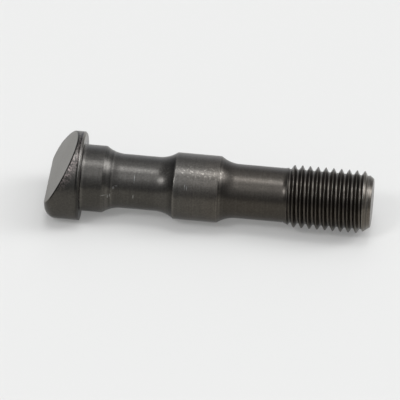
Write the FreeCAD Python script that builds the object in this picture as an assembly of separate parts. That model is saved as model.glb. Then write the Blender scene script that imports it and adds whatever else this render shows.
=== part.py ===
import FreeCAD, Part

import math
import os

from FreeCAD import Vector

# Connecting rod bolt: a round head with one flat side and a slanted top, then a turned shank
# with two pilot shoulders, two thinner waists and a threaded end.
# Sizes are in millimetres. X runs along the bolt, with the head at -X and the thread at +X.
# Z is up. The bolt lies on the flat of its head, and the origin is under its middle.
# The fine thread is left out: its length is a plain cylinder of the thread's outer diameter.

# Head
head_dia = 17.6
head_height = 6.8
flat_beyond_pilot = 0.1
flat_corner_radius = 5.3
head_top_radius = 2.3
slant_angle = 28.3
ridge_below_axis = 1.5
slant_edge_radius = 0.25
seat_edge_chamfer = 0.3

# Pilot shoulders, which fit closely in the bores of the rod and its cap
pilot_dia = 12.8
head_pilot_length = 4.1
middle_pilot_length = 8.4

# Waists between the shoulders, and the hollow curves that lead down to them
waist_dia = 10.4
waist_curve_radius = 6.0
first_waist_length = 13.7
second_waist_length = 14.5

# Thread
thread_dia = 12.0
thread_length = 14.9
thread_flare_radius = 2.7
end_dia = 9.3
end_chamfer_length = 1.9

# How far cutting tools and joined ends reach past the surface that they meet
overlap = 0.8

# Two places or directions that differ by less than this count as one
same_place = 1e-4

head_radius = head_dia / 2
pilot_radius = pilot_dia / 2
waist_radius = waist_dia / 2
thread_radius = thread_dia / 2
axis_height = pilot_radius + flat_beyond_pilot

# Rim that is left where the slanted face comes nearest to the seat, and the fillet that fits on it
thin_rim = head_height - (head_radius + ridge_below_axis) * math.tan(math.radians(slant_angle))
slant_fillet = min(slant_edge_radius, thin_rim / 4)

# Stations along the shank, measured from the face under the head
head_pilot_end = head_pilot_length
middle_pilot_start = head_pilot_end + first_waist_length
middle_pilot_end = middle_pilot_start + middle_pilot_length
thread_start = middle_pilot_end + second_waist_length
shank_end = thread_start + thread_length


def curve_length(radius, step):
    """Length along the axis of a hollow curve that climbs a step from the waist."""
    return math.sqrt(radius ** 2 - (radius - step) ** 2)


def hollow_curve(start, end, radius):
    """Arc between two points of the outline that leaves the waist without a corner."""
    foot = min(start, end, key=lambda point: point.z)
    top = max(start, end, key=lambda point: point.z)
    half_angle = math.asin((top.x - foot.x) / radius) / 2
    middle = foot + Vector(radius * math.sin(half_angle), 0, radius * (1 - math.cos(half_angle)))
    return Part.Arc(start, middle, end).toShape()


def turned_shank():
    """The shank: one outline turned about the axis, ending inside the head."""
    neck = curve_length(waist_curve_radius, pilot_radius - waist_radius)
    flare = curve_length(thread_flare_radius, thread_radius - waist_radius)
    outline = [
        (-overlap, 0, None),
        (-overlap, pilot_radius, None),
        (head_pilot_end, pilot_radius, None),
        (head_pilot_end + neck, waist_radius, waist_curve_radius),
        (middle_pilot_start - neck, waist_radius, None),
        (middle_pilot_start, pilot_radius, waist_curve_radius),
        (middle_pilot_end, pilot_radius, None),
        (middle_pilot_end + neck, waist_radius, waist_curve_radius),
        (thread_start - flare, waist_radius, None),
        (thread_start, thread_radius, thread_flare_radius),
        (shank_end - end_chamfer_length, thread_radius, None),
        (shank_end, end_dia / 2, None),
        (shank_end, 0, None),
    ]
    edges = []
    for (from_x, from_r, _), (to_x, to_r, curve) in zip(outline, outline[1:]):
        start = Vector(from_x, 0, from_r)
        end = Vector(to_x, 0, to_r)
        edges.append(hollow_curve(start, end, curve) if curve else Part.makeLine(start, end))
    edges.append(Part.makeLine(end, Vector(-overlap, 0, 0)))
    return Part.Face(Part.Wire(edges)).revolve(Vector(0, 0, 0), Vector(1, 0, 0), 360)


def head_outline():
    """Outline of the head across the axis: a circle with one flat and two rounded corners."""
    down = axis_height - flat_corner_radius
    side = math.sqrt((head_radius - flat_corner_radius) ** 2 - down ** 2)
    meet = head_radius / (head_radius - flat_corner_radius)
    corner_angle = (math.atan2(-down, side) - math.pi / 2) / 2
    bulge_y = side + flat_corner_radius * math.cos(corner_angle)
    bulge_z = -down + flat_corner_radius * math.sin(corner_angle)
    points = {}
    for sign in (-1, 1):
        points[sign] = [
            Vector(0, sign * side * meet, -down * meet),
            Vector(0, sign * bulge_y, bulge_z),
            Vector(0, sign * side, -axis_height),
        ]
    return Part.Wire([
        Part.Arc(points[-1][0], Vector(0, 0, head_radius), points[1][0]).toShape(),
        Part.Arc(*points[1]).toShape(),
        Part.makeLine(points[1][2], points[-1][2]),
        Part.Arc(*reversed(points[-1])).toShape(),
    ])


def level_edges(shape, level):
    """Edges of a shape that lie wholly at one station along the axis."""
    found = []
    for edge in shape.Edges:
        box = edge.BoundBox
        if max(abs(box.XMin - level), abs(box.XMax - level)) < same_place:
            found.append(edge)
    return found


def slant_cutter():
    """Wedge that takes the slanted top off the head, upward from the ridge."""
    slope = math.tan(math.radians(slant_angle))
    rise = head_dia + ridge_below_axis
    lead_x = -head_height - overlap
    lead_z = -ridge_below_axis - overlap / slope
    corners = [
        Vector(lead_x, -head_dia, lead_z),
        Vector(-head_height + rise * slope, -head_dia, rise - ridge_below_axis),
        Vector(lead_x, -head_dia, rise - ridge_below_axis),
    ]
    wedge = Part.Face(Part.makePolygon(corners + corners[:1]))
    return wedge.extrude(Vector(0, 2 * head_dia, 0))


def seat_edge_cutter():
    """Ring that bevels the round part of the rim next to the seat, as a lathe does."""
    corners = [
        Vector(-seat_edge_chamfer - overlap, 0, head_radius + overlap),
        Vector(overlap, 0, head_radius - seat_edge_chamfer - overlap),
        Vector(overlap, 0, head_radius + overlap),
    ]
    ring = Part.Face(Part.makePolygon(corners + corners[:1]))
    return ring.revolve(Vector(0, 0, 0), Vector(1, 0, 0), 360)


def bolt_head():
    """Head: rounded at the top, cut on the slant, with its sharp edges broken."""
    head = Part.Face(head_outline()).extrude(Vector(-head_height, 0, 0))
    head = head.makeFillet(head_top_radius, level_edges(head, -head_height))
    head = head.cut(slant_cutter()).cut(seat_edge_cutter())
    normal = Vector(-math.cos(math.radians(slant_angle)), 0, math.sin(math.radians(slant_angle)))
    slants = [face for face in head.Faces if face.normalAt(0, 0).isEqual(normal, same_place)]
    return head.makeFillet(slant_fillet, slants[0].Edges)


def whole_bolt():
    """Head and threaded shank as one solid, set in the middle of the frame."""
    bolt = bolt_head().fuse(turned_shank()).removeSplitter()
    bolt = bolt.Solids[0]
    bolt.translate(Vector((head_height - shank_end) / 2, 0, axis_height))
    return bolt


os.makedirs("parts", exist_ok=True)
whole_bolt().exportStep("parts/rod_bolt.step")
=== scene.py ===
import math
from functools import partial

import bmesh
import bpy
import numpy as np
from mathutils import Matrix, Vector


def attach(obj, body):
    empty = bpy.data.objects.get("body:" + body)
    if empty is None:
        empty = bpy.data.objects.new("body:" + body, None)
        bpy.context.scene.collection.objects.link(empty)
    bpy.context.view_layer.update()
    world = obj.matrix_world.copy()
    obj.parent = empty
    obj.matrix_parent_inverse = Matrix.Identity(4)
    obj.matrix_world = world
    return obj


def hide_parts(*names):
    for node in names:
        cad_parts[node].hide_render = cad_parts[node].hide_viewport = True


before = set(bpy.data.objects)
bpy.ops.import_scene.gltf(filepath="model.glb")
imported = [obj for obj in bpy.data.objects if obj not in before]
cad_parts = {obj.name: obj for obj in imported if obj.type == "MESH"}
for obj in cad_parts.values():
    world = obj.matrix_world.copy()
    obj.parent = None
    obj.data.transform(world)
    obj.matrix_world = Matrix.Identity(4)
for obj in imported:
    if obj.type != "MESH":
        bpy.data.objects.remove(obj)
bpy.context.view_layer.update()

# A connecting rod bolt lying on a pale table. The shank with its two pilot shoulders, two
# waists and thread is turned from one outline by Geometry Nodes, the head is built in mesh
# code, and both are welded into one closed skin that stands for the solid rod_bolt.
# Sizes are in millimetres, as in the part's own source, and MM turns them into metres.
# Stations are measured along the bolt from the seat, the face under the head, to the thread.

MM = 0.001

# Head
HEAD_RADIUS = 8.8
HEAD_HEIGHT = 6.8
FLAT_CORNER_RADIUS = 5.3
HEAD_TOP_RADIUS = 2.3
SLANT_ANGLE = math.radians(28.3)
RIDGE_BELOW_AXIS = 1.5
SEAT_EDGE_CHAMFER = 0.3

# Rounds on the head: the edge of the slanted face at the rim, the ridge where that face meets
# the rounded top, and the fillet where the head pilot meets the seat
SLANT_EDGE_ROUND = 0.16
RIDGE_ROUND = 0.09
SEAT_FILLET = 0.2

# The chamfer at the seat fades to this along the flat, which the lathe didn't reach.
LEAST_CHAMFER = 0.03

# Shank
PILOT_RADIUS = 6.4
WAIST_RADIUS = 5.2
THREAD_RADIUS = 6.0
END_RADIUS = 4.65
NECK_RADIUS = 6.0
FLARE_RADIUS = 2.7
HEAD_PILOT_END = 4.1
MIDDLE_PILOT_START = 17.8
MIDDLE_PILOT_END = 26.2
# The flare into the thread lies 0.4 mm nearer to the head than in the solid, as photographed.
THREAD_START = 40.3
SHANK_END = 55.6
END_CHAMFER = 1.9
THREAD_END = SHANK_END - END_CHAMFER

# Place in the frame
AXIS_HEIGHT = 6.5
SEAT_X = (HEAD_HEIGHT - SHANK_END) / 2

# Thread, M12 by 1.5, right-hand. The first whole crest is at its station where the upper edge
# of the picture of the bolt cuts it, a share of a turn from +Y over the top.
PITCH = 1.5
GROOVE_DEPTH = 0.57 * PITCH
GROOVE_FLAT = 0.36
FLANK_ANGLE = math.radians(30)
FIRST_CREST = 40.25
FIRST_CREST_TURN = 52 / 360

# The groove starts part of the way up the flare, and before that it rises out of the steel.
GROOVE_START = 38.8
RUN_OUT_SLOPE = 1.3

# Lengths over which the surfaces of the thread run into each other
ROOT_ROUND = 0.12
RUN_OUT_ROUND = 0.2
CREST_ROUND = 0.05

# Small breaks of turned edges. Points of the outline within BREAK_REACH breaks of a corner
# give way to its round.
EDGE_BREAK = 0.16
END_BREAK = 0.12
BREAK_REACH = 1.2
BREAK_STEPS = 4

# Points nearer to each other than SAME_PLACE are one, and edges under THINNEST_EDGE go.
SAME_PLACE = 0.001
THINNEST_EDGE = 1e-5

# Fineness of the shank: columns round it, lengths of rows on straight runs, and turns of rows
# on hollow curves
SHANK_COLUMNS = 128
PLAIN_ROW = 0.45
THREAD_ROW = 0.05
NECK_ROW = math.radians(3.0)
FLARE_ROW = math.radians(1.2)
LEAST_CURVE_ROWS = 3

# Rows of the head from the shank outwards: turns of the seat fillet, shares of the seat, of its
# chamfer and of the side, distances in from the rim, and a count of rows to the pole
HEAD_COLUMNS = 2 * SHANK_COLUMNS
FILLET_ROWS = np.radians([30, 60, 90])
SEAT_ROWS = [0.15, 0.4, 0.7, 0.9, 0.98, 1.0]
CHAMFER_ROWS = [0.15, 0.5, 0.85, 1.0]
SIDE_ROWS = [0.03, 0.1, 0.25, 0.4, 0.55, 0.7, 0.82, 0.92, 0.97, 1.0]
TOP_ROWS = [0.012, 0.03, 0.06, 0.1, 0.14, 0.18, 0.24, 0.32, *np.linspace(0.42, HEAD_TOP_RADIUS, 18)]
INNER_ROWS = 44
HEAD_POLE = np.array([[0.0, 0.5]])

# Share of the wear on plain edges that the thread shows, but for the last SHARP_END of it, next
# to the end chamfer, and the sharpest bend that is told from others
THREAD_WEAR = 0.25
SHARP_END = 0.1
MOST_BEND = 20

# Kinds of node that are used often
MATH = "ShaderNodeMath"
VECTOR = "ShaderNodeVectorMath"
JOIN = "ShaderNodeCombineXYZ"
SPLIT = "ShaderNodeSeparateXYZ"
FADE = "ShaderNodeMapRange"
MIX = "ShaderNodeMix"
NOISE = "ShaderNodeTexNoise"


def srgb(text):
    """Linear colour of an sRGB hex value."""
    parts = [int(text[i:i + 2], 16) / 255 for i in (1, 3, 5)]
    linear = [p / 12.92 if p <= 0.04045 else ((p + 0.055) / 1.055) ** 2.4 for p in parts]
    return (*linear, 1.0)


def add(tree, kind, inputs=(), output=0, **settings):
    """Adds a node with its settings and links, and returns one of its outputs.

    The inputs are values, or outputs to link: a list in the order of the node's sockets, or a
    dictionary of their names or numbers.
    """
    node = tree.nodes.new(kind)
    for name, value in settings.items():
        setattr(node, name, value)
    for key, value in inputs.items() if isinstance(inputs, dict) else enumerate(inputs):
        socket = node.inputs[key]
        if isinstance(value, bpy.types.NodeSocket):
            tree.links.new(value, socket)
        else:
            socket.default_value = value
    return node.outputs[output] if len(node.outputs) else None


def own_nodes(holder):
    """Node tree of a new material or world, emptied."""
    holder.use_nodes = True
    holder.node_tree.nodes.clear()
    return holder.node_tree


def put_in_scene(name, data):
    """New object at the origin of the scene."""
    thing = bpy.data.objects.new(name, data)
    bpy.context.scene.collection.objects.link(thing)
    return thing


# Outline of the shank, as stations and distances from the axis

def arc_points(start, end, centre, row):
    """Points on an arc round a centre, from start to end, both included."""
    first, last = (math.atan2(y - centre[1], x - centre[0]) for x, y in (start, end))
    turn = (last - first + math.pi) % (2 * math.pi) - math.pi
    count = max(LEAST_CURVE_ROWS, round(abs(turn) / row))
    radius = math.dist(start, centre)
    angles = [first + turn * i / count for i in range(count + 1)]
    return [(centre[0] + radius * math.cos(a), centre[1] + radius * math.sin(a)) for a in angles]


def straight_points(start, end, row):
    """Evenly spaced points on a straight run, both ends included."""
    count = max(1, round(math.dist(start, end) / row))
    return [tuple(a + (b - a) * i / count for a, b in zip(start, end)) for i in range(count + 1)]


def break_corner(outline, corner, size):
    """The outline with a small round over one of its corners."""
    at = min(range(len(outline)), key=lambda i: math.dist(outline[i], corner))
    before = [point for point in outline[:at] if math.dist(point, corner) > BREAK_REACH * size]
    after = [point for point in outline[at:] if math.dist(point, corner) > BREAK_REACH * size]
    ends = []
    for near in (before[-1], after[0]):
        share = size / math.dist(corner, near)
        ends.append([c + (n - c) * share for c, n in zip(corner, near)])
    curve = []
    for i in range(BREAK_STEPS + 1):
        t = i / BREAK_STEPS
        curve.append(tuple((1 - t) ** 2 * a + 2 * t * (1 - t) * c + t ** 2 * b
                           for a, c, b in zip(ends[0], corner, ends[1])))
    return before + curve + after


def curve_length(radius, step):
    """Length along the axis of a hollow curve that climbs a step from the waist."""
    return math.sqrt(radius ** 2 - (radius - step) ** 2)


def shank_outline():
    """Outline of the shank from the seat fillet to the middle of the end face.

    Each corner has the radius of the hollow curve that leads to it, or None after a straight
    run, and the rows of that curve or run.
    """
    neck = curve_length(NECK_RADIUS, PILOT_RADIUS - WAIST_RADIUS)
    flare = curve_length(FLARE_RADIUS, THREAD_RADIUS - WAIST_RADIUS)
    corners = [
        (SEAT_FILLET, PILOT_RADIUS, None, PLAIN_ROW),
        (HEAD_PILOT_END, PILOT_RADIUS, None, PLAIN_ROW),
        (HEAD_PILOT_END + neck, WAIST_RADIUS, NECK_RADIUS, NECK_ROW),
        (MIDDLE_PILOT_START - neck, WAIST_RADIUS, None, PLAIN_ROW),
        (MIDDLE_PILOT_START, PILOT_RADIUS, NECK_RADIUS, NECK_ROW),
        (MIDDLE_PILOT_END, PILOT_RADIUS, None, PLAIN_ROW),
        (MIDDLE_PILOT_END + neck, WAIST_RADIUS, NECK_RADIUS, NECK_ROW),
        (THREAD_START - flare, WAIST_RADIUS, None, PLAIN_ROW),
        (THREAD_START, THREAD_RADIUS, FLARE_RADIUS, FLARE_ROW),
        (THREAD_END, THREAD_RADIUS, None, THREAD_ROW),
        (SHANK_END, END_RADIUS, None, THREAD_ROW),
        (SHANK_END, 0, None, PLAIN_ROW),
    ]
    outline = [corners[0][:2]]
    for (*start, _, _), (*end, radius, row) in zip(corners, corners[1:]):
        if radius:
            foot = min(start, end, key=lambda point: point[1])
            outline += arc_points(start, end, (foot[0], WAIST_RADIUS + radius), row)[1:]
        else:
            outline += straight_points(start, end, row)[1:]
    for corner, size in (
        ((HEAD_PILOT_END, PILOT_RADIUS), EDGE_BREAK),
        ((MIDDLE_PILOT_START, PILOT_RADIUS), EDGE_BREAK),
        ((MIDDLE_PILOT_END, PILOT_RADIUS), EDGE_BREAK),
        ((SHANK_END, END_RADIUS), END_BREAK),
    ):
        outline = break_corner(outline, corner, size)
    return outline


# Turned shank, by Geometry Nodes

def shank_tree(inputs):
    """Node tree that turns an outline about the bolt's axis and cuts the thread into it."""
    tree = bpy.data.node_groups.new("turned_shank", "GeometryNodeTree")
    node = partial(add, tree)
    sockets = tree.interface
    sockets.new_socket("Geometry", in_out="INPUT", socket_type="NodeSocketGeometry")
    for name, kind, _ in inputs:
        sockets.new_socket(name, in_out="INPUT", socket_type=kind)
    sockets.new_socket("Geometry", in_out="OUTPUT", socket_type="NodeSocketGeometry")
    given = node("NodeGroupInput").node.outputs

    # A flat grid with a row for each point of the outline, and the turn of each column
    columns = given["Columns"]
    rows = node("GeometryNodeAttributeDomainSize", [given["Geometry"]])
    row_gaps = node(MATH, [rows, 1.0], operation="SUBTRACT")
    grid = node("GeometryNodeMeshGrid", {
        "Size X": row_gaps, "Size Y": columns, "Vertices X": rows,
        "Vertices Y": node(MATH, [columns, 1.0], operation="ADD"),
    })
    position = node("GeometryNodeInputPosition")
    on_grid = node(SPLIT, [position]).node.outputs
    row = node(MATH, [row_gaps, 0.5, on_grid[0]], operation="MULTIPLY_ADD")
    column = node(MATH, [columns, 0.5, on_grid[1]], operation="MULTIPLY_ADD")
    turn = node(MATH, [column, columns], operation="DIVIDE")
    angle = node(MATH, [turn, 2 * math.pi], operation="MULTIPLY")
    point = node("GeometryNodeSampleIndex", {
        "Geometry": given["Geometry"], "Value": position,
        "Index": node(MATH, [row], operation="ROUND"),
    }, data_type="FLOAT_VECTOR")
    along, _, radius = node(SPLIT, [point]).node.outputs

    # The crest moves on by one pitch in each turn from +Y over the top, which is right-handed.
    past_crest = node(MATH, [along, given["First crest"]], operation="SUBTRACT")
    pitches = node(MATH, [past_crest, given["Pitch"]], operation="DIVIDE")
    pitches = node(MATH, [pitches, given["First crest turn"]], operation="ADD")
    pitches = node(MATH, [pitches, turn], operation="SUBTRACT")
    phase = node(MATH, [pitches], operation="FRACT")
    off_middle = node(MATH, [phase, 0.5], operation="SUBTRACT")
    off_middle = node(MATH, [off_middle], operation="ABSOLUTE")
    off_middle = node(MATH, [off_middle, given["Pitch"]], operation="MULTIPLY")

    # The groove's own radius: its flat bottom, its flanks and its run-out at the flare
    half_flat = node(MATH, [given["Groove bottom width"], 0.5], operation="MULTIPLY")
    past_flat = node(MATH, [off_middle, half_flat], operation="SUBTRACT")
    flank_slope = node(MATH, [given["Flank angle"]], operation="TANGENT")
    flank = node(MATH, [past_flat, flank_slope], operation="DIVIDE")
    flank = node(MATH, [flank, 0.0, given["Root round"]], operation="SMOOTH_MAX")
    run_out = node(MATH, [given["Groove start"], along], operation="SUBTRACT")
    run_out = node(MATH, [run_out, 0.0, given["Run-out round"]], operation="SMOOTH_MAX")
    groove = node(MATH, [run_out, given["Run-out slope"], flank], operation="MULTIPLY_ADD")
    groove = node(MATH, [groove, given["Groove bottom radius"]], operation="ADD")
    reach = node(MATH, [radius, groove, given["Crest round"]], operation="SMOOTH_MIN")

    cosine = node(MATH, [angle], operation="COSINE")
    sine = node(MATH, [angle], operation="SINE")
    turned = node("GeometryNodeSetPosition", {
        "Geometry": grid,
        "Position": node(JOIN, [
            along,
            node(MATH, [reach, cosine], operation="MULTIPLY"),
            node(MATH, [reach, sine, given["Axis height"]], operation="MULTIPLY_ADD"),
        ]),
    })
    closed = node("GeometryNodeMergeByDistance", {
        "Geometry": turned, "Distance": given["Same place"],
    })
    plain = node("GeometryNodeRealizeInstances", {"Geometry": closed})
    coated = node("GeometryNodeSetMaterial", {"Geometry": plain, "Material": given["Finish"]})
    node("NodeGroupOutput", {"Geometry": coated})
    return tree


def turned_shank(finish):
    """Mesh of the shank, open only where it meets the head."""
    outline = [((SEAT_X + station) * MM, 0, radius * MM) for station, radius in shank_outline()]
    mesh = bpy.data.meshes.new("shank_outline")
    mesh.from_pydata(outline, [(i, i + 1) for i in range(len(outline) - 1)], [])
    holder = put_in_scene("shank_outline", mesh)
    inputs = [
        ("Columns", "NodeSocketInt", SHANK_COLUMNS),
        ("Axis height", "NodeSocketFloat", AXIS_HEIGHT * MM),
        ("Pitch", "NodeSocketFloat", PITCH * MM),
        ("First crest", "NodeSocketFloat", (SEAT_X + FIRST_CREST) * MM),
        ("First crest turn", "NodeSocketFloat", FIRST_CREST_TURN),
        ("Groove bottom radius", "NodeSocketFloat", (THREAD_RADIUS - GROOVE_DEPTH) * MM),
        ("Groove bottom width", "NodeSocketFloat", GROOVE_FLAT * MM),
        ("Flank angle", "NodeSocketFloat", FLANK_ANGLE),
        ("Groove start", "NodeSocketFloat", (SEAT_X + GROOVE_START) * MM),
        ("Run-out slope", "NodeSocketFloat", RUN_OUT_SLOPE),
        ("Root round", "NodeSocketFloat", ROOT_ROUND * MM),
        ("Run-out round", "NodeSocketFloat", RUN_OUT_ROUND * MM),
        ("Crest round", "NodeSocketFloat", CREST_ROUND * MM),
        ("Same place", "NodeSocketFloat", SAME_PLACE * MM),
        ("Finish", "NodeSocketMaterial", finish),
    ]
    tree = shank_tree(inputs)
    modifier = holder.modifiers.new("turned_shank", "NODES")
    modifier.node_group = tree
    for name, _, value in inputs:
        modifier[tree.interface.items_tree[name].identifier] = value
    seen = holder.evaluated_get(bpy.context.evaluated_depsgraph_get())
    shank = bpy.data.meshes.new_from_object(seen)
    holder.modifiers.remove(modifier)
    bpy.data.objects.remove(holder)
    return shank


# Head, in mesh code

def head_rim(angle):
    """Point of the head's outline in one direction from the axis, and its inward normal."""
    corner_down = AXIS_HEIGHT - FLAT_CORNER_RADIUS
    corner_side = math.sqrt((HEAD_RADIUS - FLAT_CORNER_RADIUS) ** 2 - corner_down ** 2)
    y, z = math.cos(angle), math.sin(angle)
    turned = math.atan2(z, abs(y))
    if turned >= math.atan2(-corner_down, corner_side):
        return (HEAD_RADIUS * y, HEAD_RADIUS * z), (-y, -z)
    if turned <= math.atan2(-AXIS_HEIGHT, corner_side):
        return (y * AXIS_HEIGHT / -z, -AXIS_HEIGHT), (0.0, 1.0)
    centre = (math.copysign(corner_side, y), -corner_down)
    along = y * centre[0] + z * centre[1]
    apart = centre[0] ** 2 + centre[1] ** 2 - FLAT_CORNER_RADIUS ** 2
    reach = along + math.sqrt(along ** 2 - apart)
    point = (reach * y, reach * z)
    return point, tuple((c - p) / FLAT_CORNER_RADIUS for c, p in zip(centre, point))


def top_height(inset, z):
    """Heights of the top of the head over the seat, at one distance in from its rim."""
    sunk = max(0.0, HEAD_TOP_RADIUS - inset)
    rounded = HEAD_HEIGHT - HEAD_TOP_RADIUS + math.sqrt(HEAD_TOP_RADIUS ** 2 - sunk ** 2)
    short = max(0.0, 1 - inset / SLANT_EDGE_ROUND)
    slanted = HEAD_HEIGHT - math.tan(SLANT_ANGLE) * (z + RIDGE_BELOW_AXIS)
    slanted = slanted - SLANT_EDGE_ROUND * (1 - math.sqrt(1 - short ** 2))
    # The smaller of the two heights, rounded where they cross
    share = np.clip(0.5 + 0.5 * (slanted - rounded) / RIDGE_ROUND, 0, 1)
    return slanted + (rounded - slanted) * share - RIDGE_ROUND * share * (1 - share)


def ring(height, across):
    """A ring of points: their heights over the seat, and their places across the axis."""
    return np.column_stack((np.broadcast_to(-height, len(across)), across))


def head_rings():
    """Rings of points over the head, from the end of the shank to the pole of the top."""
    angles = np.arange(HEAD_COLUMNS) * 2 * math.pi / HEAD_COLUMNS
    outward = np.column_stack((np.cos(angles), np.sin(angles)))
    every = HEAD_COLUMNS // SHANK_COLUMNS
    rings = [ring(-SEAT_FILLET, PILOT_RADIUS * outward[::every])]

    rim, inward = np.array([head_rim(angle) for angle in angles]).transpose(1, 0, 2)
    reach = np.hypot(*rim.T)
    chamfer = np.clip(reach - HEAD_RADIUS + SEAT_EDGE_CHAMFER, LEAST_CHAMFER, SEAT_EDGE_CHAMFER)
    seat_edge = reach - chamfer
    fillet = np.minimum(SEAT_FILLET, 0.5 * (seat_edge - PILOT_RADIUS))

    for turn in FILLET_ROWS:
        out = PILOT_RADIUS + fillet * (1 - math.cos(turn))
        rings.append(ring(-SEAT_FILLET * (1 - math.sin(turn)), out[:, None] * outward))
    for share in SEAT_ROWS:
        out = PILOT_RADIUS + fillet + share * (seat_edge - PILOT_RADIUS - fillet)
        rings.append(ring(0.0, out[:, None] * outward))
    for share in CHAMFER_ROWS:
        out = seat_edge + chamfer * share
        rings.append(ring(chamfer * share, out[:, None] * outward))
    top_edge = top_height(0.0, rim[:, 1])
    for share in SIDE_ROWS:
        rings.append(ring(chamfer + share * (top_edge - chamfer), rim))
    for inset in TOP_ROWS:
        across = rim + inset * inward
        rings.append(ring(top_height(inset, across[:, 1]), across))
    inner_edge = rim + HEAD_TOP_RADIUS * inward
    for number in range(1, INNER_ROWS):
        across = HEAD_POLE + (1 - number / INNER_ROWS) * (inner_edge - HEAD_POLE)
        rings.append(ring(top_height(HEAD_TOP_RADIUS, across[:, 1]), across))
    rings.append(ring(top_height(HEAD_TOP_RADIUS, HEAD_POLE[:, 1]), HEAD_POLE))
    return rings


def head_skin(finish):
    """Mesh of the head, open only where the shank leaves it."""
    rings = head_rings()
    places = (np.concatenate(rings) + (SEAT_X, 0, AXIS_HEIGHT)) * MM
    starts = [sum(map(len, rings[:number])) for number in range(len(rings) + 1)]
    loops = [range(start, end) for start, end in zip(starts, starts[1:])]
    faces = []
    for one, two in zip(loops, loops[1:]):
        for i in range(len(one)):
            a, b = one[i], one[(i + 1) % len(one)]
            if len(two) > len(one):
                c, d, e = (two[(2 * i + k) % len(two)] for k in range(3))
                faces += [(a, c, d), (a, d, b), (b, d, e)]
            elif len(two) == 1:
                faces.append((a, b, two[0]))
            else:
                faces.append((a, b, two[(i + 1) % len(two)], two[i]))
    mesh = bpy.data.meshes.new("head_skin")
    mesh.from_pydata(places.tolist(), [], faces)
    mesh.materials.append(finish)
    return mesh


def weld(name, meshes, finish):
    """One closed object from open meshes that share their rims."""
    shape = bmesh.new()
    for mesh in meshes:
        shape.from_mesh(mesh)
    bmesh.ops.remove_doubles(shape, verts=shape.verts, dist=SAME_PLACE * MM)
    bmesh.ops.dissolve_degenerate(shape, dist=THINNEST_EDGE * MM, edges=shape.edges)
    bmesh.ops.recalc_face_normals(shape, faces=shape.faces)
    for face in shape.faces:
        face.smooth = True
        face.material_index = 0
    mesh = bpy.data.meshes.new(name)
    shape.to_mesh(mesh)
    shape.free()
    mesh.materials.append(finish)
    return put_in_scene(name, mesh)


def mark_edges(piece):
    """Stores how sharply each point stands out from its neighbours, for the worn edges."""
    mesh = piece.data

    def read(items, name, width, kind):
        values = np.zeros(len(items) * width, kind)
        items.foreach_get(name, values)
        return values.reshape(-1, width)

    places = read(mesh.vertices, "co", 3, float)
    normals = read(mesh.vertex_normals, "vector", 3, float)
    one, two = read(mesh.edges, "vertices", 2, int).T
    step = places[two] - places[one]
    length = np.maximum(np.linalg.norm(step, axis=1), THINNEST_EDGE * MM)
    bend = np.einsum("ij,ij->i", normals[two] - normals[one], step) / length ** 2 * MM
    most = np.zeros(len(places))
    np.maximum.at(most, one, bend)
    np.maximum.at(most, two, bend)
    station = places[:, 0] / MM - SEAT_X
    most[(station > GROOVE_START) & (station < THREAD_END - SHARP_END)] *= THREAD_WEAR
    layer = mesh.attributes.new("edge_bend", "FLOAT", "POINT")
    layer.data.foreach_set("value", np.clip(most, 0, MOST_BEND).astype(np.float32))


# Finish of the steel

# Sizes of its patterns: real tool marks, oxide crystals and the pits under the painted glints are
# too fine to show, so that each is drawn a number of times as coarse. The clouds are as large as
# real ones.
TOOL_MARK, MARKS_COARSER = 0.1, 3
CRYSTAL, CRYSTALS_COARSER = 0.07, 5
PIT, PITS_COARSER = 0.2, 2
CLOUD = 5.0

# How pale the shank is, as stations and tones: each turned length has its own shade and the edges
# of the middle pilot are rubbed pale. Some stops are painted light and shade: painted highlights
# on the pilot beside the seat, on the neck after the head pilot and on the neck before the middle
# pilot, painted shade in the hollows before the middle pilot and the thread, and the end chamfer
# is partly rubbed pale and partly a painted highlight. A ramp holds 32 stops, and these tones go
# up to TONE_RANGE.
SHANK_TONES_AND_PAINTED_LIGHT = [
    (0.0, 1.5), (0.45, 1.4), (0.7, 0.95), (3.9, 0.95), (4.2, 1.3), (5.8, 1.2), (6.6, 1.0),
    (14.0, 1.0), (15.3, 1.15), (16.6, 1.05), (17.3, 0.7), (17.66, 0.6), (17.74, 1.8),
    (17.92, 1.8), (18.1, 1.2), (25.6, 1.2), (26.0, 1.45), (27.0, 1.1), (27.5, 0.8),
    (29.5, 0.86), (38.0, 0.88), (39.6, 0.9), (39.9, 0.7), (40.2, 1.05), (53.4, 1.05),
    (53.8, 1.7), (55.6, 1.7),
]
TONE_RANGE = 2.0

# Stations between which the tool marks stand out, at the ends of two pilots and on the end
# chamfer, with their strength there and elsewhere, and the lengths over which it comes and goes
MARKED_LENGTHS = [(4.1, 6.3), (25.8, 27.6), (53.8, 55.6)]
MARKS_THERE, MARKS_ELSEWHERE = 1.6, 0.4
MARKS_COME, MARKS_GO = 0.2, 0.3

# Nicks and scratches from handling: station, degrees round the shank from +Y over the top,
# length along the bolt and width round it. NICK_RADIUS turns degrees into millimetres, and
# NO_NICK is further off than any of them reaches.
NICKS = [
    (4.6, 172.5, 1.2, 0.14),
    (5.3, 177.0, 0.16, 0.9),
    (5.65, 175.0, 0.16, 0.8),
    (6.3, 158.0, 0.4, 0.5),
    (6.8, 154.0, 0.5, 0.16),
    (10.15, 176.0, 0.18, 1.2),
    (10.2, 136.0, 0.13, 1.7),
    (20.0, 143.0, 0.16, 1.0),
    (20.4, 145.0, 0.16, 0.8),
]
NICK_RADIUS = 5.8
NO_NICK = 10.0

# Stations of the painted shadow line beside the chamfer at the seat, and of the limit between the
# finish of the head and that of the shank
RIM_LINE = -0.6
HEAD_LIMIT = 0.05

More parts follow.
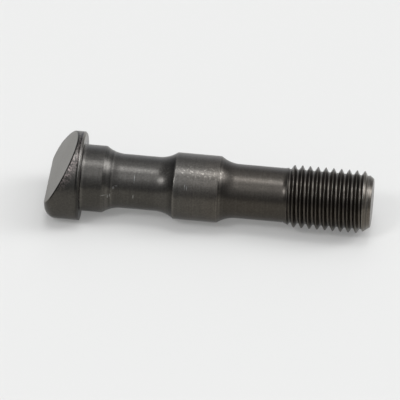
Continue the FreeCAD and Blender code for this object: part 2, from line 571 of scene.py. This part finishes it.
# Each patch of the finish is a product of fades. A fade says what is measured, where it begins
# and ends, and the share or tone before and after it. Lengths are in millimetres, turns in
# degrees from +Y over the top, nicks in shares of their size, and grain and pits in levels of
# their patterns. The bend is what mark_edges stores.
PATCHES = {
    # Painted reflection: the slanted face is drawn about twice as pale as the side of the head, and
    # painted shade darkens a thin line along its edge.
    "painted slant sheen and edge shade": [
        ("under slant", 0.03, 0.08, 1.98, 1.03),
        ("from slant edge", 0.12, 0.3, 0.25, 1.0),
    ],
    # Painted shadow: a dark line beside the seat chamfer, strongest on its upper part
    "painted rim shadow": [
        ("from rim line", 0.1, 0.25, 0.7, 0.0),
        ("up", 2.5, 4.5, 0.2, 1.0),
    ],
    "seat chamfer": [("from seat", 0.4, 0.5, 1.0, 0.0)],
    # Painted light and shade: the seat chamfer darker low down and paler high up
    "painted seat chamfer light and shade": [("up", 3.5, 7.0, 0.5, 2.4)],
    "speckle": [("grain", 0.3, 0.7, 0.8, 1.2)],
    # Painted glints: specks of the pits pattern brighten the metal in a band of turns on the
    # middle pilot, where its highlight falls
    "painted glints": [
        ("pits", 0.56, 0.72, 0.0, 1.2),
        ("station", 17.9, 18.3, 0.3, 1.0),
        ("station", 26.5, 28.0, 1.0, 0.3),
        ("turn", 100.0, 109.0, 0.0, 1.0),
        ("turn", 120.0, 130.0, 1.0, 0.0),
    ],
    # Brighter steel: rubbed edges and nicks, and under the edge of the slanted face a scuff that is
    # also a painted highlight
    "worn": [
        ("bend", 2.0, 7.0, 0.0, 0.3),
        ("grain", 0.35, 0.65, 0.35, 1.0),
        ("from slant edge", 0.12, 0.3, 0.2, 1.0),
        ("from seat", 0.4, 0.5, 0.2, 1.0),
    ],
    "nicked": [
        ("from nick", 0.6, 1.4, 0.5, 0.0),
        ("grain", 0.35, 0.55, 0.3, 1.0),
    ],
    # A scuff that is partly a painted highlight: it is kept to the upper side of the rim, where the
    # light falls
    "scuff and painted highlight": [
        ("under slant", 0.25, 1.7, 0.65, 0.0),
        ("in from rim", 0.1, 0.4, 1.0, 0.0),
        ("up", 2.5, 4.5, 0.0, 1.0),
        ("up", 6.5, 8.0, 1.0, 0.4),
        ("grain", 0.45, 0.6, 0.0, 1.0),
        ("from slant edge", 0.12, 0.3, 0.0, 1.0),
    ],
    "brown tint": [("station", 17.0, 30.0, 0.0, 1.0)],
}

# Colours of the metal, its roughness and how that follows the clouds, and the bump of its
# patterns
OXIDE_DARK, OXIDE_PALE = "#45433F", "#4D4A45"
BROWN_TINT = "#FFF9F3"
# The colour of the scuff, which also paints the highlight on the upper rim of the head
SCUFF_AND_HIGHLIGHT_STEEL = "#A3948E"
WORN_STEEL = "#9A9A96"
LEAST_ROUGH, CLOUD_ROUGH = 0.26, 0.1
BUMP_STRENGTH, BUMP_DEPTH = 0.3, 0.01


def black_oxide_steel():
    """Black oxide on turned alloy steel.

    The conversion layer is thin, so the metal still shines through it: a dark neutral grey
    with a satin gloss, fine turning rings on the shank, a grainier skin on the forged head,
    and brighter steel where edges have been rubbed or nicked. Highlights, glints and shade are
    also painted into it on the head and along the shank.
    """
    finish = bpy.data.materials.new("black_oxide_steel")
    node = partial(add, own_nodes(finish))

    # Where a point is, in millimetres
    place = node("ShaderNodeTexCoord", output="Object")
    place = node(VECTOR, {0: place, "Scale": 1 / MM}, output="Vector", operation="SCALE")
    along, across, height = node(SPLIT, [place]).node.outputs
    station = node(MATH, [along, SEAT_X], operation="SUBTRACT")
    up = node(MATH, [height, AXIS_HEIGHT], operation="SUBTRACT")
    out = node(VECTOR, [node(JOIN, [across, up])], output="Value", operation="LENGTH")
    turn = node(MATH, [up, across], operation="ARCTAN2")
    on_shank = node(MATH, [station, HEAD_LIMIT], operation="GREATER_THAN")

    # How far a point is under the slanted face, in from the rim, and from their common edge
    slope = math.tan(SLANT_ANGLE)
    plane = HEAD_HEIGHT - slope * RIDGE_BELOW_AXIS
    under_slant = node(MATH, [up, -slope, plane], operation="MULTIPLY_ADD")
    under_slant = node(MATH, [under_slant, station], operation="ADD")
    under_slant = node(MATH, [under_slant, math.cos(SLANT_ANGLE)], operation="MULTIPLY")
    inset = node(MATH, [HEAD_RADIUS, out], operation="SUBTRACT")
    from_rim_line = node(MATH, [station, RIM_LINE], operation="SUBTRACT")

    rings, grain, pits, clouds = (
        node(NOISE, {"Vector": where, "Scale": 1 / size, "Detail": detail, "Roughness": rough})
        for where, size, detail, rough in (
            (node(JOIN, [along, out]), TOOL_MARK * MARKS_COARSER, 3.0, 0.6),
            (place, CRYSTAL * CRYSTALS_COARSER, 4.0, 0.6),
            (place, PIT * PITS_COARSER, 1.0, 0.5),
            (place, CLOUD, 3.0, 0.55),
        )
    )

    unrolled = node(JOIN, [station, node(MATH, [turn, NICK_RADIUS], operation="MULTIPLY")])
    from_nick = NO_NICK
    for nick_station, degrees, length, width in NICKS:
        middle = (nick_station, math.radians(degrees) * NICK_RADIUS, 0)
        offset = node(VECTOR, [unrolled, middle], operation="SUBTRACT")
        offset = node(VECTOR, [offset, (length / 2, width / 2, 1)], operation="DIVIDE")
        reach = node(VECTOR, [offset], output="Value", operation="LENGTH")
        from_nick = node(MATH, [from_nick, reach], operation="MINIMUM")

    measures = {
        "station": station,
        "up": up,
        "turn": node(MATH, [turn], operation="DEGREES"),
        "under slant": under_slant,
        "in from rim": inset,
        "from slant edge": node(MATH, [under_slant, inset], operation="MAXIMUM"),
        "from rim line": node(MATH, [from_rim_line], operation="ABSOLUTE"),
        "from seat": node(MATH, [station], operation="ABSOLUTE"),
        "from nick": from_nick,
        "grain": grain,
        "pits": pits,
        "bend": node("ShaderNodeAttribute", output="Fac", attribute_name="edge_bend"),
    }
    patch = {}
    for name, fades in PATCHES.items():
        patch[name] = 1.0
        for measured, *fade in fades:
            share = node(FADE, [measures[measured], *fade])
            patch[name] = node(MATH, [patch[name], share], operation="MULTIPLY")

    # Tone of the shank: its lengths with their painted highlights and shade, the tool marks and the
    # painted glints
    length_tones_and_painted_light = node("ShaderNodeValToRGB", [node(MATH, [station, SHANK_END], operation="DIVIDE")])
    stops = length_tones_and_painted_light.node.color_ramp.elements
    for number, (stop_station, tone) in enumerate(SHANK_TONES_AND_PAINTED_LIGHT):
        position = stop_station / SHANK_END
        stop = stops[number] if number < len(stops) else stops.new(position)
        stop.position = position
        stop.color = (*[tone / TONE_RANGE] * 3, 1)
    marks = MARKS_ELSEWHERE
    for start, end in MARKED_LENGTHS:
        come = node(FADE, [station, start, start + MARKS_COME, 0.0, MARKS_THERE])
        go = node(FADE, [station, end - MARKS_GO, end, 1.0, 0.0])
        marks = node(MATH, [come, go, marks], operation="MULTIPLY_ADD")
    ring_level = node(MATH, [rings, 0.5], operation="SUBTRACT")
    ring_tone = node(MATH, [ring_level, marks, 1.0], operation="MULTIPLY_ADD")
    shank_tone_and_painted_light = node(MATH, [length_tones_and_painted_light, TONE_RANGE], operation="MULTIPLY")
    shank_tone_and_painted_light = node(MATH, [shank_tone_and_painted_light, ring_tone], operation="MULTIPLY")
    # Painted glints brighten the tone in their band on the middle pilot.
    shank_tone_and_painted_light = node(MATH, [shank_tone_and_painted_light, patch["painted glints"], shank_tone_and_painted_light], operation="MULTIPLY_ADD")

    # Tone of the head, all painted light and shade: the paler slanted face with a dark line along
    # its edge, the seat chamfer darker low and paler high, and the dark painted shadow line beside
    # it
    painted_chamfer_tone = node(MIX, {0: patch["seat chamfer"], 2: 1.0, 3: patch["painted seat chamfer light and shade"]})
    painted_rim_shadow_tone = node(MATH, [1.0, patch["painted rim shadow"]], operation="SUBTRACT")
    head_painted_light_and_shade = node(MATH, [patch["painted slant sheen and edge shade"], painted_rim_shadow_tone], operation="MULTIPLY")
    head_painted_light_and_shade = node(MATH, [head_painted_light_and_shade, painted_chamfer_tone], operation="MULTIPLY")
    tone = node(MIX, {0: on_shank, 2: head_painted_light_and_shade, 3: shank_tone_and_painted_light})
    tone = node(MATH, [tone, patch["speckle"]], operation="MULTIPLY")

    # Colour: clouds, a brown tint towards the thread, the tone with its painted light and shade,
    # then the scuff with its painted highlight and the brighter steel
    bright = node(MATH, [patch["worn"], patch["nicked"]], operation="MAXIMUM")
    colour = srgb(OXIDE_DARK)
    for share, other, blend in (
        (clouds, srgb(OXIDE_PALE), "MIX"),
        (patch["brown tint"], srgb(BROWN_TINT), "MULTIPLY"),
        (1.0, tone, "MULTIPLY"),
        (patch["scuff and painted highlight"], srgb(SCUFF_AND_HIGHLIGHT_STEEL), "MIX"),
        (bright, srgb(WORN_STEEL), "MIX"),
    ):
        colour = node(MIX, {0: share, 6: colour, 7: other}, output=2, data_type="RGBA",
                      blend_type=blend)

    bump = node("ShaderNodeBump", {
        "Height": node(MIX, {0: on_shank, 2: grain, 3: rings}),
        "Strength": BUMP_STRENGTH, "Distance": BUMP_DEPTH * MM,
    })
    shader = node("ShaderNodeBsdfPrincipled", {
        "Base Color": colour, "Metallic": 1.0, "Normal": bump,
        "Roughness": node(MATH, [clouds, CLOUD_ROUGH, LEAST_ROUGH], operation="MULTIPLY_ADD"),
    })
    node("ShaderNodeOutputMaterial", {"Surface": shader})
    return finish


# Table, with half its width in metres. The room lights it brighter than a plain sky would, so
# that the paper is written darker than it shows.

TABLE_HALF = 4.0
PAPER_COLOUR = "#DBD8D0"
PAPER_SHEEN = "#DCDCDB"
PAPER_GLOW = 0.25


def white_paper():
    """Matt white paper that fills the view evenly.

    A share of its paleness, PAPER_GLOW, is its own, to the eye and in the metal alike. The
    rest comes from the light on it and keeps the shadow of the bolt.
    """
    finish = bpy.data.materials.new("white_paper")
    node = partial(add, own_nodes(finish))
    rays = node("ShaderNodeLightPath").node.outputs
    seen = rays["Is Camera Ray"]
    for ray in ("Is Glossy Ray", "Is Transmission Ray"):
        seen = node(MATH, [seen, rays[ray]], operation="MAXIMUM")
    both = node("ShaderNodeMixShader", [
        node(MATH, [seen, PAPER_GLOW], operation="MULTIPLY"),
        node("ShaderNodeBsdfDiffuse", {"Color": srgb(PAPER_COLOUR)}),
        node("ShaderNodeEmission", {"Color": srgb(PAPER_SHEEN), "Strength": 1.0}),
    ])
    node("ShaderNodeOutputMaterial", {"Surface": both})
    return finish


def table_top():
    """Flat table under the bolt, large enough to fill the view."""
    mesh = bpy.data.meshes.new("table_top")
    corners = [(-1, -1), (1, -1), (1, 1), (-1, 1)]
    mesh.from_pydata([(x * TABLE_HALF, y * TABLE_HALF, 0) for x, y in corners],
                     [], [(0, 1, 2, 3)])
    mesh.materials.append(white_paper())
    table = put_in_scene("table_top", mesh)


# Studio, with its soft lights: direction, strength at the middle, and how tightly each is
# gathered

SOFT_LIGHTS = {
    "small box overhead": ((0.0, 0.0, 1.0), 12.4, 100.0),
    "box on the right": ((0.64, 0.11, 0.76), 5.26, 30.0),
    "box low on the right": ((0.82, 0.23, 0.53), 6.96, 50.0),
    "lamp in front on the left": ((-0.43, -0.52, 0.74), 25.0, 190.0),
    "ceiling, front half": ((0.0, -0.45, 0.9), 1.69, 20.0),
    "ceiling, back half": ((0.0, 0.45, 0.9), 1.32, 20.0),
    "pale wall behind": ((0.0, 0.98, 0.2), 0.94, 8.0),
    "pale wall in front": ((0.1, -0.75, 0.66), 0.564, 8.0),
    "grey wall on the left": ((-0.87, 0.1, 0.5), 0.31, 12.0),
}
ROOM_LEVEL = 0.23
LIGHT_COLOUR = "#F2F6FF"


def soft_studio():
    """A room with soft boxes, drawn on the sky as broad lobes of light."""
    world = bpy.data.worlds.new("soft_studio")
    node = partial(add, own_nodes(world))
    towards = node("ShaderNodeTexCoord", output="Generated")
    level = ROOM_LEVEL
    for direction, strength, gather in SOFT_LIGHTS.values():
        facing = node(VECTOR, [towards, Vector(direction).normalized()], output="Value",
                      operation="DOT_PRODUCT")
        facing = node(MATH, [facing, 0.0], operation="MAXIMUM")
        lobe = node(MATH, [facing, gather], operation="POWER")
        level = node(MATH, [lobe, strength, level], operation="MULTIPLY_ADD")
    light = node("ShaderNodeBackground", {"Color": srgb(LIGHT_COLOUR), "Strength": level})
    node("ShaderNodeOutputWorld", {"Surface": light})
    bpy.context.scene.world = world


# Camera, as the outline of the bolt in the photograph gives it. TARGET_PIXEL is the place in
# the picture of the axis half way along the bolt.
ELEVATION = math.radians(38)
YAW = math.radians(5.4)
ROLL = math.radians(1.798)
DISTANCE = 1300.0
PIXELS_PER_MM = 5.2228
FRAME_PIXELS = 400
TARGET_PIXEL = (209.96, 188.543)
SENSOR = 36.0
CLIP_METRES = (0.05, 50.0)


def photo_camera():
    """Camera at the photograph's angle, far away behind a long lens."""
    back = Vector((math.sin(YAW) * math.cos(ELEVATION), -math.cos(YAW) * math.cos(ELEVATION),
                   math.sin(ELEVATION)))
    level = Vector((math.cos(YAW), math.sin(YAW), 0))
    rise = back.cross(level)
    right = math.cos(ROLL) * level + math.sin(ROLL) * rise
    up = -math.sin(ROLL) * level + math.cos(ROLL) * rise
    side_step = (TARGET_PIXEL[0] - FRAME_PIXELS / 2) / PIXELS_PER_MM
    rise_step = (FRAME_PIXELS / 2 - TARGET_PIXEL[1]) / PIXELS_PER_MM
    aim = Vector((0, 0, AXIS_HEIGHT)) - side_step * right - rise_step * up
    lens = bpy.data.cameras.new("photo_camera")
    lens.sensor_width = SENSOR
    lens.lens = SENSOR * DISTANCE * PIXELS_PER_MM / FRAME_PIXELS
    lens.clip_start, lens.clip_end = CLIP_METRES
    camera = put_in_scene("photo_camera", lens)
    turn = Matrix((right, up, back)).transposed().to_4x4()
    camera.matrix_world = Matrix.Translation((aim + DISTANCE * back) * MM) @ turn
    bpy.context.scene.camera = camera


bpy.context.scene.view_settings.view_transform = "Standard"

steel = black_oxide_steel()
bolt = weld("rod_bolt_skin", [turned_shank(steel), head_skin(steel)], steel)
mark_edges(bolt)
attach(bolt, "root")
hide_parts("rod_bolt")

table_top()
soft_studio()
photo_camera()
